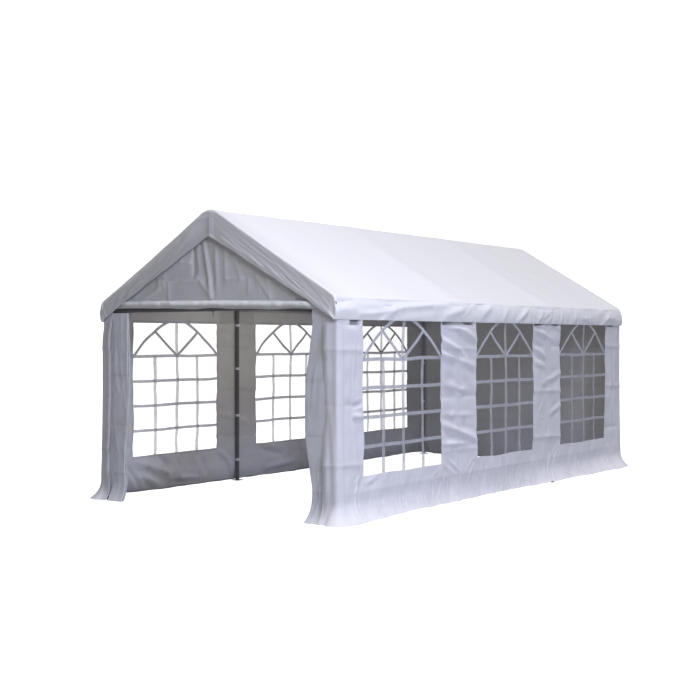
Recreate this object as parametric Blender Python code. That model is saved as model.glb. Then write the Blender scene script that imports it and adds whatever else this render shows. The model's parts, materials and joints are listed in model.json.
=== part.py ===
# Marquee tent: a steel tube frame of four portals under a pitched cloth cover, with cloth walls.
# +Z is up, the open front gable faces -Y, and the origin is on the ground under the middle.
import math

import bmesh
import bpy
from mathutils import Vector

# Driving dimensions, in metres
WIDTH = 3.0
BAY = 2.0
BAYS = 3
EAVE_HEIGHT = 2.011
RIDGE_HEIGHT = 2.8485
ROOF_SLOPE = 0.59
VALANCE_HEM = 1.804
BAND_DEPTH = 0.236
BAND_OVERHANG = 0.0317

# Steel tube, and the sleeves that join it
TUBE_RADIUS = 0.021
SLEEVE_RADIUS = 0.0245
BAR_RADIUS = 0.019
BAR_SLEEVE_RADIUS = 0.0225
SLEEVE_LENGTH = 0.13
BAR_SLEEVE_LENGTH = 0.09
RIDGE_SLEEVE_REACH = 0.24
LEG_BEND_RADIUS = 0.06
BEAM_HEIGHT = 1.916
BEAM_SLEEVE_RADIUS = 0.0235
BEAM_LAP = 0.02
FOOT_PLATE = 0.1
FOOT_THICKNESS = 0.005
SIDES = 12

# Cloth
CLOTH = 0.0035
FILM = 0.002
HEM = 0.002
WALL_TOP = 1.95
FLARE = 0.045
FLARE_HEIGHT = 0.12
CORNER_RADIUS = 0.015
RETURN_EDGE = 1.344
CURTAIN_DEPTH = 0.04
# Height of each fold of a tied-back curtain, and how near the doorway's middle it reaches there
CURTAIN_FOLDS = (
    (HEM, 1.176),
    (0.29, 1.21),
    (0.47, 1.176),
    (0.77, 1.131),
    (1.22, 1.131),
    (1.53, 1.176),
    (1.75, 1.21),
)

# Windows
WINDOW_PITCH = 1.965
WINDOW_WIDTH = 1.283
WINDOW_SILL = 0.397
WINDOW_HEAD = 1.811
FILM_LAP = 0.02

# Clearance between pieces that rest on each other
GAP = 0.0003

# Worked out from the above
PITCH = math.atan(ROOF_SLOPE)
COVER_PEAK = EAVE_HEIGHT + ROOF_SLOPE * WIDTH / 2
RIDGE_RADIUS = (COVER_PEAK - RIDGE_HEIGHT) / (1 / math.cos(PITCH) - 1)
RIDGE_STEPS = 8
EAVE_STEPS = 5
WALL_X = WIDTH / 2 - CLOTH - GAP
LEG_X = WALL_X - CLOTH - GAP - SLEEVE_RADIUS
FRAME_DEPTH = CLOTH + GAP + SLEEVE_RADIUS
NODE_HEIGHT = COVER_PEAK - ROOF_SLOPE * LEG_X - FRAME_DEPTH / math.cos(PITCH)
HALF_LENGTH = BAY * BAYS / 2
FRAME_YS = [BAY * i - HALF_LENGTH for i in range(BAYS + 1)]
WALL_Y = HALF_LENGTH + FRAME_DEPTH
COVER_Y = WALL_Y + BAND_OVERHANG
SLOPE_WAY = Vector((-math.cos(PITCH), 0, math.sin(PITCH)))
UP = Vector((0, 0, 1))


def clear_scene():
    for thing in list(bpy.data.objects):
        bpy.data.objects.remove(thing, do_unlink=True)


def material(name, colour, roughness, metallic=0.0, alpha=1.0):
    made = bpy.data.materials.new(name)
    made.use_nodes = True
    shader = made.node_tree.nodes["Principled BSDF"]
    shader.inputs["Base Color"].default_value = (*colour, 1.0)
    shader.inputs["Roughness"].default_value = roughness
    shader.inputs["Metallic"].default_value = metallic
    shader.inputs["Alpha"].default_value = alpha
    return made


def finish(name, bm, finish_material, smooth_angle=None):
    """A mesh object of one closed solid, with its faces pointing outwards."""
    bmesh.ops.recalc_face_normals(bm, faces=bm.faces)
    mesh = bpy.data.meshes.new(name)
    bm.to_mesh(mesh)
    bm.free()
    mesh.materials.append(finish_material)
    if smooth_angle:
        mesh.shade_smooth()
        mesh.set_sharp_from_angle(angle=math.radians(smooth_angle))
    made = bpy.data.objects.new(name, mesh)
    bpy.context.scene.collection.objects.link(made)
    return made


def boolean(body, others, operation):
    """Joins the other solids to the body, or cuts them from it, and keeps only the result."""
    for other in others:
        step = body.modifiers.new(operation.lower(), "BOOLEAN")
        step.operation = operation
        step.solver = "EXACT"
        step.object = other
    view = bpy.context.evaluated_depsgraph_get()
    result = bpy.data.meshes.new_from_object(body.evaluated_get(view))
    body.modifiers.clear()
    body.data = result
    for other in others:
        bpy.data.objects.remove(other, do_unlink=True)
    return body


def loft(rings):
    """A closed solid through rings of points, with a flat cap on each end."""
    bm = bmesh.new()
    levels = [[bm.verts.new(point) for point in ring] for ring in rings]
    count = len(levels[0])
    for low, high in zip(levels, levels[1:]):
        for i in range(count):
            j = (i + 1) % count
            bm.faces.new((low[i], low[j], high[j], high[i]))
    bm.faces.new(levels[0])
    bm.faces.new(levels[-1])
    return bm


def ways(path):
    """The direction of a path at each of its points, halfway round each bend."""
    found = []
    for i, point in enumerate(path):
        before = next((point - p for p in reversed(path[:i]) if (point - p).length > GAP), None)
        after = next((p - point for p in path[i + 1 :] if (p - point).length > GAP), None)
        steps = [step.normalized() for step in (before, after) if step]
        found.append(sum(steps, Vector()).normalized())
    return found


def pipe(path, radii, across):
    """A round bar along a path that lies in the plane square to across."""
    rings = []
    for point, way, radius in zip(path, ways(path), radii):
        side = way.cross(across)
        turns = [2 * math.pi * i / SIDES for i in range(SIDES)]
        rings.append([point + radius * (math.cos(t) * across + math.sin(t) * side) for t in turns])
    return loft(rings)


def rod(name, start, end, radius, across, finish_material):
    return finish(name, pipe([start, end], [radius] * 2, across), finish_material, 40)


def box(name, low, high, finish_material):
    bm = bmesh.new()
    bmesh.ops.create_cube(bm, size=1)
    for vert in bm.verts:
        vert.co = [a if c < 0 else b for a, b, c in zip(low, high, vert.co)]
    return finish(name, bm, finish_material)


def prism(outline, y_low, y_high):
    """A plate cut to an outline of (x, z) points, between two planes square to Y."""
    return loft([[(x, y, z) for x, z in outline] for y in (y_low, y_high)])


def mirrored(points, side):
    """Points of the +X side, on either side."""
    return [Vector((p.x * side, p.y, p.z)) for p in points]


# The frame
def slope_point(distance):
    """A point on a rafter's centre line, by its distance from the eave node."""
    return Vector((LEG_X, 0, NODE_HEIGHT)) + distance * SLOPE_WAY


def leg_bend():
    """The bend from leg to rafter: its points, and the middle one, where the eave bars join."""
    turn = math.pi / 2 - PITCH
    setback = LEG_BEND_RADIUS * math.tan(turn / 2)
    centre = Vector((LEG_X - LEG_BEND_RADIUS, 0, NODE_HEIGHT - setback))
    steps = 6
    points = []
    for i in range(steps + 1):
        angle = turn * i / steps
        points.append(centre + LEG_BEND_RADIUS * Vector((math.cos(angle), 0, math.sin(angle))))
    return points, points[steps // 2]


def ridge_bend():
    """The centre line of the curved ridge connector, from its left end to its right end."""
    radius = RIDGE_RADIUS - FRAME_DEPTH
    centre = Vector((0, 0, RIDGE_HEIGHT - RIDGE_RADIUS))
    angles = [PITCH * (2 * i / RIDGE_STEPS - 1) for i in range(RIDGE_STEPS + 1)]
    arc = [centre + radius * Vector((math.sin(a), 0, math.cos(a))) for a in angles]
    drop = (RIDGE_SLEEVE_REACH - arc[-1].x) * ROOF_SLOPE
    ends = [Vector((side * RIDGE_SLEEVE_REACH, 0, arc[-1].z - drop)) for side in (-1, 1)]
    return [ends[0], *arc, ends[1]]


def at_frame(points, y):
    return [Vector((p.x, y, p.z)) for p in points]


def stub_ends(y):
    """How far a connector's sleeve for the bars reaches along Y from its frame."""
    low = y - (BAR_SLEEVE_LENGTH if y > FRAME_YS[0] else BAR_RADIUS)
    high = y + (BAR_SLEEVE_LENGTH if y < FRAME_YS[-1] else BAR_RADIUS)
    return low, high


def leg(name, side, y, steel):
    """An upright with its foot plate, and the welded connector that takes rafter and bars."""
    bend, bar_point = leg_bend()
    foot = Vector((LEG_X, 0, FOOT_THICKNESS / 2))
    sleeve_foot = Vector((LEG_X, 0, NODE_HEIGHT - SLEEVE_LENGTH))
    path = [foot, sleeve_foot, sleeve_foot, *bend, slope_point(SLEEVE_LENGTH)]
    radii = [TUBE_RADIUS] * 2 + [SLEEVE_RADIUS] * (len(path) - 2)
    body = finish(name, pipe(at_frame(mirrored(path, side), y), radii, Vector((0, 1, 0))), steel, 40)
    half = FOOT_PLATE / 2
    plate = box(
        name + "_plate",
        (side * LEG_X - half, y - half, 0),
        (side * LEG_X + half, y + half, FOOT_THICKNESS),
        steel,
    )
    low, high = stub_ends(y)
    centre = Vector((side * bar_point.x, 0, bar_point.z))
    stub_path = [centre + Vector((0, low, 0)), centre + Vector((0, high, 0))]
    others = [plate, rod(name + "_stub", *stub_path, BAR_SLEEVE_RADIUS, UP, steel)]
    if y in (FRAME_YS[0], FRAME_YS[-1]):
        start = Vector((side * LEG_X, y, BEAM_HEIGHT))
        end = Vector((side * beam_end(), y, BEAM_HEIGHT))
        others.append(rod(name + "_socket", start, end, BEAM_SLEEVE_RADIUS, UP, steel))
    return boolean(body, others, "UNION")


def beam_end():
    return LEG_X - BAR_SLEEVE_LENGTH + GAP


def rafter(name, side, y, steel):
    reach = ridge_bend()[-1]
    length = (LEG_X - reach.x) / math.cos(PITCH)
    ends = [slope_point(SLEEVE_LENGTH + GAP), slope_point(length - GAP)]
    start, end = at_frame(mirrored(ends, side), y)
    return rod(name, start, end, TUBE_RADIUS, Vector((0, 1, 0)), steel)


def ridge_connector(name, y, steel):
    path = at_frame(ridge_bend(), y)
    body = finish(name, pipe(path, [SLEEVE_RADIUS] * len(path), Vector((0, 1, 0))), steel, 40)
    low, high = stub_ends(y)
    crown = ridge_crown()
    ends = [crown + Vector((0, low, 0)), crown + Vector((0, high, 0))]
    return boolean(body, [rod(name + "_stub", *ends, BAR_SLEEVE_RADIUS, UP, steel)], "UNION")


def ridge_crown():
    return Vector((0, 0, RIDGE_HEIGHT - FRAME_DEPTH))


def bar(name, centre, bay, steel):
    """A bar along the tent, between the sleeves of two frames."""
    inset = BAR_SLEEVE_LENGTH + GAP
    ends = [Vector((0, FRAME_YS[bay] + inset, 0)), Vector((0, FRAME_YS[bay + 1] - inset, 0))]
    return rod(name, centre + ends[0], centre + ends[1], BAR_RADIUS, UP, steel)


def gable_beam(name, y, steel):
    """A crossbar in two lengths, the thinner one pushed into the thicker."""
    reach = beam_end() - GAP
    xs = [-reach, BEAM_LAP, BEAM_LAP, reach]
    path = [Vector((x, y, BEAM_HEIGHT)) for x in xs]
    return finish(name, pipe(path, [TUBE_RADIUS] * 2 + [BAR_RADIUS] * 2, UP), steel, 40)


# The cover
def cover_line(inward, low):
    """The cover's section, from the left hem over the ridge to the right hem, moved inwards."""
    right = [(WIDTH / 2 - inward, low)]
    node = (LEG_X, NODE_HEIGHT)
    for i in range(EAVE_STEPS + 1):
        share = i / EAVE_STEPS
        angle = share * (math.pi / 2 - PITCH)
        radius = (1 - share) * (WIDTH / 2 - LEG_X) + share * FRAME_DEPTH - inward
        right.append((node[0] + radius * math.cos(angle), node[1] + radius * math.sin(angle)))
    for i in range(RIDGE_STEPS // 2 + 1):
        angle = PITCH * (1 - 2 * i / RIDGE_STEPS)
        radius = RIDGE_RADIUS - inward
        z = RIDGE_HEIGHT - RIDGE_RADIUS + radius * math.cos(angle)
        right.append((radius * math.sin(angle), z))
    left = [(-x, z) for x, z in right[:-1]]
    return left + right[::-1]


def band_line():
    """The lower edge of the cover's gable band, with a point for each point of the cover's line."""
    line = []
    for x, z in cover_line(0, VALANCE_HEM):
        inner = min(abs(x), WIDTH / 2 - 2 * CLOTH)
        edge = COVER_PEAK - ROOF_SLOPE * inner - BAND_DEPTH - CLOTH
        line.append((math.copysign(inner, x), max(VALANCE_HEM, min(edge, z - BAND_DEPTH))))
    return line


def roof_cover(cloth):
    """One cloth over all the frames, with a side valance on each eave and a band on each gable."""
    outer = cover_line(0, VALANCE_HEM)
    inner = cover_line(CLOTH, VALANCE_HEM)
    band = band_line()
    bm = bmesh.new()

    def row(line, y):
        return [bm.verts.new((x, y, z)) for x, z in line]

    rows = []
    for side in (-1, 1):
        face, back = side * COVER_Y, side * (COVER_Y - CLOTH)
        rows.append([row(outer, face), row(band, face), row(band, back), row(inner, back)])
    front, rear = rows
    loop = [*front, *rear[::-1]]
    for one, two in zip(loop, [*loop[1:], loop[0]]):
        for i in range(len(outer) - 1):
            bm.faces.new((one[i], one[i + 1], two[i + 1], two[i]))
    bm.faces.new([line[0] for line in loop])
    bm.faces.new([line[-1] for line in reversed(loop)])
    return finish("roof_cover", bm, cloth, 30)


# The walls
def wall_path(out):
    """The plan of a side wall with its two corner returns, moved outwards."""
    centre_x, centre_y = WALL_X - CORNER_RADIUS, WALL_Y - CORNER_RADIUS
    radius = CORNER_RADIUS + out
    quarter = [(RETURN_EDGE, WALL_Y + out)]
    for i in range(4):
        angle = math.pi / 2 * (1 - i / 3)
        quarter.append((centre_x + radius * math.cos(angle), centre_y + radius * math.sin(angle)))
    return quarter + [(x, -y) for x, y in reversed(quarter)]


def flare_levels(top):
    """Heights of a wall's rings, with how far its skirt stands out at each."""
    return ((HEM, FLARE), (FLARE_HEIGHT, 0), (top, 0))


def window_plate(name, side, bay, grow, depths, finish_material):
    """A plate of a window's outline, grown on every side, between two depths along X."""
    middle = WINDOW_PITCH * (bay - (BAYS - 1) / 2)
    half = WINDOW_WIDTH / 2 + grow
    xs = sorted(side * depth for depth in depths)
    low = (xs[0], middle - half, WINDOW_SILL - grow)
    high = (xs[1], middle + half, WINDOW_HEAD + grow)
    return box(name, low, high, finish_material)


def side_wall(name, side, cloth):
    """A cloth wall that laps round both corner legs, with its windows cut through it."""
    rings = []
    for z, out in flare_levels(WALL_TOP - GAP):
        plan = wall_path(out) + wall_path(out - CLOTH)[::-1]
        rings.append([(side * x, y, z) for x, y in plan])
    body = finish(name, loft(rings), cloth)
    reach = (WALL_X - FLARE, WALL_X + FLARE)
    cutters = [window_plate(f"{name}_cut_{i}", side, i, 0, reach, cloth) for i in range(BAYS)]
    return boolean(body, cutters, "DIFFERENCE")


def window_film(name, side, bay, film):
    """Clear film behind a window's edge."""
    face = WALL_X - CLOTH - GAP
    return window_plate(name, side, bay, FILM_LAP, (face - FILM, face), film)


def gable_panel(name, end, cloth):
    """The cloth triangle above a gable beam, hung inside the cover's band."""
    outline = cover_line(CLOTH + GAP, WALL_TOP)
    faces = sorted((end * WALL_Y, end * (WALL_Y - CLOTH)))
    return finish(name, prism(outline, *faces), cloth)


def curtain(name, side, cloth):
    """Half of the front wall, gathered and tied back beside the doorway."""
    top = (BEAM_HEIGHT - TUBE_RADIUS - GAP, CURTAIN_FOLDS[-1][1])
    outer = RETURN_EDGE - GAP
    front = -WALL_Y
    rings = []
    for z, inner in (*CURTAIN_FOLDS, top):
        plump = CURTAIN_DEPTH / 3
        section = [
            (inner + plump, front),
            (outer, front),
            (outer, front + CURTAIN_DEPTH * 0.75),
            (outer - plump, front + CURTAIN_DEPTH),
            (inner + plump, front + CURTAIN_DEPTH),
            (inner, front + CURTAIN_DEPTH * 0.7),
            (inner, front + CURTAIN_DEPTH * 0.3),
        ]
        rings.append([(side * x, y, z) for x, y in section])
    return finish(name, loft(rings), cloth)


def back_wall(cloth):
    edge = RETURN_EDGE - GAP
    rings = []
    for z, out in flare_levels(WALL_TOP - GAP):
        y = WALL_Y + out
        rings.append([(-edge, y, z), (edge, y, z), (edge, y - CLOTH, z), (-edge, y - CLOTH, z)])
    return finish("back_wall", loft(rings), cloth)


def build():
    clear_scene()
    steel = material("charcoal_steel", (0.06, 0.065, 0.075), 0.4, metallic=0.6)
    cloth = material("white_cloth", (0.80, 0.81, 0.85), 0.6)
    lining = material("gable_cloth", (0.62, 0.63, 0.66), 0.65)
    film = material("clear_film", (0.85, 0.88, 0.92), 0.1, alpha=0.3)
    for number, y in enumerate(FRAME_YS, 1):
        for word, side in (("left", -1), ("right", 1)):
            leg(f"leg_{word}_{number}", side, y, steel)
            rafter(f"rafter_{word}_{number}", side, y, steel)
        ridge_connector(f"ridge_connector_{number}", y, steel)
    eave = leg_bend()[1]
    for bay in range(BAYS):
        bar(f"ridge_bar_{bay + 1}", ridge_crown(), bay, steel)
        for word, side in (("left", -1), ("right", 1)):
            centre = Vector((side * eave.x, 0, eave.z))
            bar(f"eave_bar_{word}_{bay + 1}", centre, bay, steel)
            window_film(f"window_film_{word}_{bay + 1}", side, bay, film)
    for word, end in (("front", -1), ("back", 1)):
        gable_beam(f"gable_beam_{word}", end * HALF_LENGTH, steel)
        gable_panel(f"gable_panel_{word}", end, lining)
    for word, side in (("left", -1), ("right", 1)):
        side_wall(f"side_wall_{word}", side, cloth)
        curtain(f"front_curtain_{word}", side, lining)
    roof_cover(cloth)
    back_wall(lining)


build()
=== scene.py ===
import json
import math

import bpy
import numpy as np
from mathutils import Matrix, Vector


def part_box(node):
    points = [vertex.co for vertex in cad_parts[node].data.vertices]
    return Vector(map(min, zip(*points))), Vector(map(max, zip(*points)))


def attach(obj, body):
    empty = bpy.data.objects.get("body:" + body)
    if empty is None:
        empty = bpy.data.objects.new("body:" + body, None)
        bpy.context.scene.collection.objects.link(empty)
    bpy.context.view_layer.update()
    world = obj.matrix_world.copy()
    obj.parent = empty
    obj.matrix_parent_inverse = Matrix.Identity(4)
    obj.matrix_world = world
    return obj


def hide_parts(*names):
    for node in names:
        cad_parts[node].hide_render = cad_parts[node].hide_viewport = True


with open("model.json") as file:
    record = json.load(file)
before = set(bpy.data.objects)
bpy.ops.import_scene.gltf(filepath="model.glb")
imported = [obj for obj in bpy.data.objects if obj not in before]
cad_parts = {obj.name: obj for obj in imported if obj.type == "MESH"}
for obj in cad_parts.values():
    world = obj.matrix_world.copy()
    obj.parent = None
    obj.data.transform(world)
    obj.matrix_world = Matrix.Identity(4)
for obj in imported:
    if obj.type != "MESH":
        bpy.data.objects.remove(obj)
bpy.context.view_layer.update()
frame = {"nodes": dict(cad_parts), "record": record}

# Steel frame. Legs, rafters, bars and beams are thin-walled steel tube, powder coated charcoal, and
# pushed into sleeves welded at the corners. The solids have the true shapes and get their coat here.
STEEL_COLOUR = (0.115, 0.117, 0.127, 1)
SCUFF_COLOUR = (0.17, 0.17, 0.18, 1)


class Signal:
    """One output among a material's nodes. Sums and products of signals add Math nodes."""

    def __init__(self, tree, node=None, output=0):
        self.tree, self.node = tree, node
        self.socket = node.outputs[output] if node else None

    def add(self, kind, settings=None, inputs=None, output=0):
        """Any other node: its kind, its settings, then the values or signals of its sockets."""
        node = self.tree.nodes.new("ShaderNode" + kind)
        for key, value in (settings or {}).items():
            setattr(node, key, value)
        for key, value in (inputs or {}).items():
            if isinstance(value, Signal):
                self.tree.links.new(value.socket, node.inputs[key])
            else:
                node.inputs[key].default_value = value
        return Signal(self.tree, node, output)

    def out(self, output):
        return Signal(self.tree, self.node, output)

    def maths(self, operation, *others):
        return self.add("Math", {"operation": operation}, dict(enumerate((self, *others))))

    def __add__(self, other):
        return self.maths("ADD", other)

    def __mul__(self, other):
        return self.maths("MULTIPLY", other)

    def __sub__(self, other):
        return self.maths("SUBTRACT", other)

    def __rsub__(self, other):
        return self * -1 + other

    def between(self, low, high):
        """0 up to low and 1 from high on, smooth in between."""
        smooth = {"interpolation_type": "SMOOTHSTEP"}
        return self.add("MapRange", smooth, {0: self, 1: low, 2: high})

    def noise(self, scale, detail=3.0, roughness=0.5):
        """Cloudy values from 0 to 1 at the places that this signal gives."""
        inputs = {"Vector": self, "Scale": scale, "Detail": detail, "Roughness": roughness}
        return self.add("TexNoise", {}, inputs)

    def blend(self, start, end):
        """A colour between two, by this signal."""
        return self.add("Mix", {"data_type": "RGBA"}, {0: self, 6: start, 7: end}, 2)

    def feed(self, socket):
        self.tree.links.new(self.socket, socket)

    def emboss(self, shader):
        """Takes this signal as a height in metres on the shader's surface."""
        inputs = {"Strength": 1.0, "Distance": 1.0, "Height": self}
        self.add("Bump", {}, inputs).feed(shader.inputs["Normal"])


def new_finish(name, **constants):
    """A material, its shader with what is the same all over, and the signal of a point's place."""
    made = bpy.data.materials.new(name)
    made.use_nodes = True
    shader = made.node_tree.nodes["Principled BSDF"]
    for key, value in constants.items():
        shader.inputs[key.replace("_", " ")].default_value = value
    return made, shader, Signal(made.node_tree).add("TexCoord", output=3)


def powder_coat():
    made, shader, place = new_finish("powder_coat", Metallic=0.0, Coat_Weight=0.15, Coat_Roughness=0.3)
    scuffs = place.noise(9, 6, 0.7).between(0.56, 0.72)
    (scuffs * 0.6).blend(STEEL_COLOUR, SCUFF_COLOUR).feed(shader.inputs["Base Color"])
    (place.noise(30) * 0.2 + 0.32 + scuffs * 0.15).feed(shader.inputs["Roughness"])
    (place.noise(700, 2) * 0.00006 + scuffs * -0.00004).emboss(shader)
    return made


coat = powder_coat()
for row in frame["record"]["subparts"]:
    if row["material_slot"] == "steel":
        frame["nodes"][row["node"]].material_slots[0].material = coat

# Roof cover. One white cloth of coated woven tape, thrown over the frame: three panels joined by lap
# seams, a valance hanging at each eave and a gathered band across each gable, hemmed all round.
CLOTH_THICKNESS = 0.0012
CUT_EDGE_ANGLE = math.radians(60)
ROOF_SLOPE = 0.59
EAVE_HEIGHT = 2.011
FRAME_DEPTH = 0.0283
FOOT_PLATE = 0.1
BAY = 2.0
FRAME_YS = (1, 3)
BAND_FOLD_RADIUS = 0.024
BAND_EDGE = ((0, 2.607), (0.24, 2.487), (0.485, 2.354), (0.96, 2.1), (1.165, 1.992), (1.3, 1.912))
LEG_BEND_RADIUS = 0.06
RIDGE_RADIUS = 0.22
BAR_SLEEVE_RADIUS = 0.0225
REST_GAP = 0.0038
ROOF_SAG = 0.016
SEAM_YS = (-0.93, 1.07)
SEAM_WIDTH = 0.03
HEM_WIDTH = 0.024
RIPPLE_WAVES = 16
# A fold's two ends on the cloth, its bow, its width and its height
VALANCE_FOLDS = (
    (-2.75, 0.12, -1.95, 0.05, 0.01, 0.026, 0.012), (-2.1, 0.055, -1.1, -0.01, 0.008, 0.024, 0.012),
    (-2.7, 0.05, -2.3, 0.04, 0, 0.018, 0.006), (-1.4, 0.17, -0.75, -0.02, -0.01, 0.04, 0.011),
    (-0.62, 0.15, -0.3, 0.01, 0, 0.035, 0.01), (-0.1, 0.17, 0.05, 0, 0, 0.03, 0.007),
    (0.2, 0.17, 0.56, 0, 0, 0.025, 0.013), (0.72, 0.18, 0.88, 0, 0, 0.022, 0.011),
    (0.92, 0.18, 1.1, 0.05, 0, 0.022, 0.009), (1.3, 0.18, 1.37, 0, 0, 0.02, 0.009),
    (1.6, 0.18, 1.57, 0, 0, 0.03, 0.008), (1.75, 0.1, 2.3, 0.08, 0, 0.03, 0.008),
    (2.45, 0.1, 2.85, 0.07, 0, 0.035, 0.01),
)
ROOF_WHITE = (0.85, 0.838, 0.882, 1)
ROOF_SHADE = (0.835, 0.823, 0.85, 1)
# The cover's inner face is the same cloth, painted darker and warmer as shade of the tent's inside
ROOF_INSIDE_SHADED = (0.56, 0.55, 0.54, 1)
DUST_COLOUR = (0.5, 0.48, 0.45, 1)
# Painted light low on the inner walls: a cooler tint, and a dark contact shadow along the ground
COOL_LIGHT_TINT = (0.63, 0.62, 0.72, 1)
CONTACT_SHADOW_COLOUR = (0.12, 0.115, 0.11, 1)
# Painted highlight on the top of the gable's roll
ROLL_HIGHLIGHT = (0.86, 0.87, 0.88, 1)
TAPE_PITCH = 0.003

cover_low, cover_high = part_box("roof_cover")
leg_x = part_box("leg_right_2")[1].x - FOOT_PLATE / 2
pitch = math.atan(ROOF_SLOPE)
cover_peak = EAVE_HEIGHT + ROOF_SLOPE * cover_high.x
eave_z = cover_peak - ROOF_SLOPE * leg_x - FRAME_DEPTH / math.cos(pitch)


def woven_finish(
    name, white, shade, roughness=0.5, wear_and_shade=0.86, soil=0.0, foot_shade=0.0, valance_shadow=None, lit_roll=None
):
    """Flat tapes woven and coated: a fine rib, cloudy shade, and duller creases, where marked points
    take the shade scaled by a factor; on the cover these marks also paint the bands' shade. soil
    darkens the foot with dust. The next argument paints a cooler light and a dark contact shadow low
    down, the one after is the colour of the painted shadow on what is marked over 1, and the last is
    the height, and its fall per metre across, of the upper edge of a painted highlight on a roll's top."""
    made, shader, place = new_finish(name, Specular_IOR_Level=0.35, Sheen_Weight=0.05)
    cut = place.add("UVMap", {"uv_map": "cut"})
    lengths = cut.add("SeparateXYZ", {}, {0: cut})
    ribs = (lengths * (math.tau / TAPE_PITCH)).maths("SINE")
    ribs = ribs * (lengths.out(1) * (math.tau / TAPE_PITCH)).maths("SINE")
    clouds = place.noise(2.3, 4, 0.6)
    crease_and_shade = place.add("Attribute", {"attribute_name": "crease_and_shade"}, output=2)
    across = place.add("SeparateXYZ", {}, {0: place})
    height = across.out(2)
    colour = clouds.between(0.3, 0.75).blend(white, shade)
    # Marked points go towards the shade: creases, and on the cover the painted shade of the bands and
    # front margin
    colour = (crease_and_shade * 0.5).blend(colour, [part * wear_and_shade for part in shade[:3]] + [1])
    if soil:
        dust = (1 - height.between(0.0, 0.22)) * place.noise(14, 5, 0.7).between(0.3, 0.8) * soil
        colour = dust.blend(colour, DUST_COLOUR)
    # Painted shadow: what is marked over 1 takes the colour of the shadow under the valance
    if valance_shadow:
        colour = (crease_and_shade - 1).between(0.1, 0.9).blend(colour, valance_shadow)
    # Painted light at the foot: a cooler tint low down, and a dark contact shadow along the ground
    if foot_shade:
        painted_cool_light = (1 - height.between(0.2, 0.75)) * place.noise(4, 4, 0.6).between(0.25, 0.7)
        colour = (painted_cool_light * 0.8).blend(colour, COOL_LIGHT_TINT)
        contact_shadow = 1 - (height + place.noise(7, 2) * -0.03).between(-0.012, 0.012)
        colour = (contact_shadow * foot_shade).blend(colour, CONTACT_SHADOW_COLOUR)
    # Painted highlight on the upper side of the roll, where the light falls
    if lit_roll:
        edge, fall = lit_roll
        level = height + across * fall
        roll_highlight = 1 - level.between(edge - 0.004, edge + 0.004)
        roll_highlight = roll_highlight * level.between(edge - 0.058, edge - 0.036)
        colour = roll_highlight.blend(colour, ROLL_HIGHLIGHT)
    colour.feed(shader.inputs["Base Color"])
    (clouds * 0.12 + crease_and_shade * 0.12 + (roughness - 0.06)).feed(shader.inputs["Roughness"])
    (ribs * 0.00004 + place.noise(60, 3, 0.6) * 0.0005).emboss(shader)
    return made


def along(line):
    """The length along a line of points, at each of them."""
    steps = np.linalg.norm(np.diff(line, axis=0), axis=1)
    return np.concatenate([[0], np.cumsum(steps)])


def stations(marks, step):
    """Values through all the marks, no further apart than step."""
    parts = []
    for low, high in zip(marks, marks[1:]):
        parts.append(np.linspace(low, high, max(2, math.ceil((high - low) / step) + 1))[:-1])
    return np.concatenate([*parts, [marks[-1]]])


def rise(x, low, high):
    """0 up to low and 1 from high on, smooth in between."""
    t = np.clip((x - low) / (high - low), 0, 1)
    return t * t * (3 - 2 * t)


def hump(share, power=0.8):
    """0 at both ends of a share, and 1 half-way."""
    return np.sin(math.pi * np.clip(share, 0, 1)) ** power


def mound(x, centre, spread):
    """1 at a centre, and dying away on both sides of it."""
    return np.exp(-(((x - centre) / spread) ** 2))


def ripples(a, b, seed, spacing):
    """Smooth swells over the cloth, mostly between -1 and 1 and about spacing apart."""
    draw = np.random.default_rng(seed)
    total = 0
    for _ in range(RIPPLE_WAVES):
        heading, phase = draw.uniform(0, math.tau, 2)
        size = math.tau / (spacing * draw.uniform(0.7, 1.8))
        total = total + np.sin(size * (a * math.cos(heading) + b * math.sin(heading)) + phase)
    return total / math.sqrt(RIPPLE_WAVES * 2)


def line_place(a, b, ends, bow):
    """How far along a bowed line each point of the cloth lies, as a share, and how far beside it."""
    a0, b0, a1, b1 = ends
    length = math.dist((a0, b0), (a1, b1))
    ca, cb = (a1 - a0) / length, (b1 - b0) / length
    share = ((a - a0) * ca + (b - b0) * cb) / length
    beside = (b - b0) * ca - (a - a0) * cb - 4 * bow * share * (1 - share)
    return share, beside


def folds(a, b, lines):
    """Soft folds, each along a bowed line, with a shallow valley on both sides."""
    total = np.zeros_like(a)
    for *ends, bow, width, height in lines:
        share, beside = line_place(a, b, ends, bow)
        taper = hump(share, 0.7)
        crest = np.exp(-np.abs(beside / width) ** 1.5)
        valleys = mound(np.abs(beside), 2.1 * width, 1.2 * width)
        total += height * taper * (crest - 0.45 * valleys)
    return total


def scattered(seed, count, a_range, b_range, heading, length, width, height, spread=8):
    """Soft folds strewn over a zone of the cloth, all leaning much the same way."""
    draw = np.random.default_rng(seed)
    lines = []
    for _ in range(count):
        a, b = draw.uniform(*a_range), draw.uniform(*b_range)
        lean = math.radians(draw.normal(heading, spread))
        reach = length * draw.uniform(0.6, 1.4) / 2
        da, db = reach * math.cos(lean), reach * math.sin(lean)
        bow = reach * draw.uniform(-0.12, 0.12)
        size = width * draw.uniform(0.7, 1.3)
        lines.append((a - da, b - db, a + da, b + db, bow, size, height * draw.uniform(0.4, 1.2)))
    return lines


def creases(a, b, lines):
    """Sharp marks left by packing: straight lines, each with a width and a height, steep on one side.
    Gives the relief, and how strongly each point is marked."""
    relief, marked = np.zeros_like(a), np.zeros_like(a)
    for *ends, width, height in lines:
        share, beside = line_place(a, b, ends, 0)
        taper = rise(share, -0.02, 0.08) * (1 - rise(share, 0.92, 1.02))
        relief += height * taper * np.exp(-np.where(beside > 0, beside, -2.2 * beside) / width)
        marked += taper * np.exp(-np.abs(beside) / 0.007)
    return relief, np.clip(marked, 0, 1)


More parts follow.
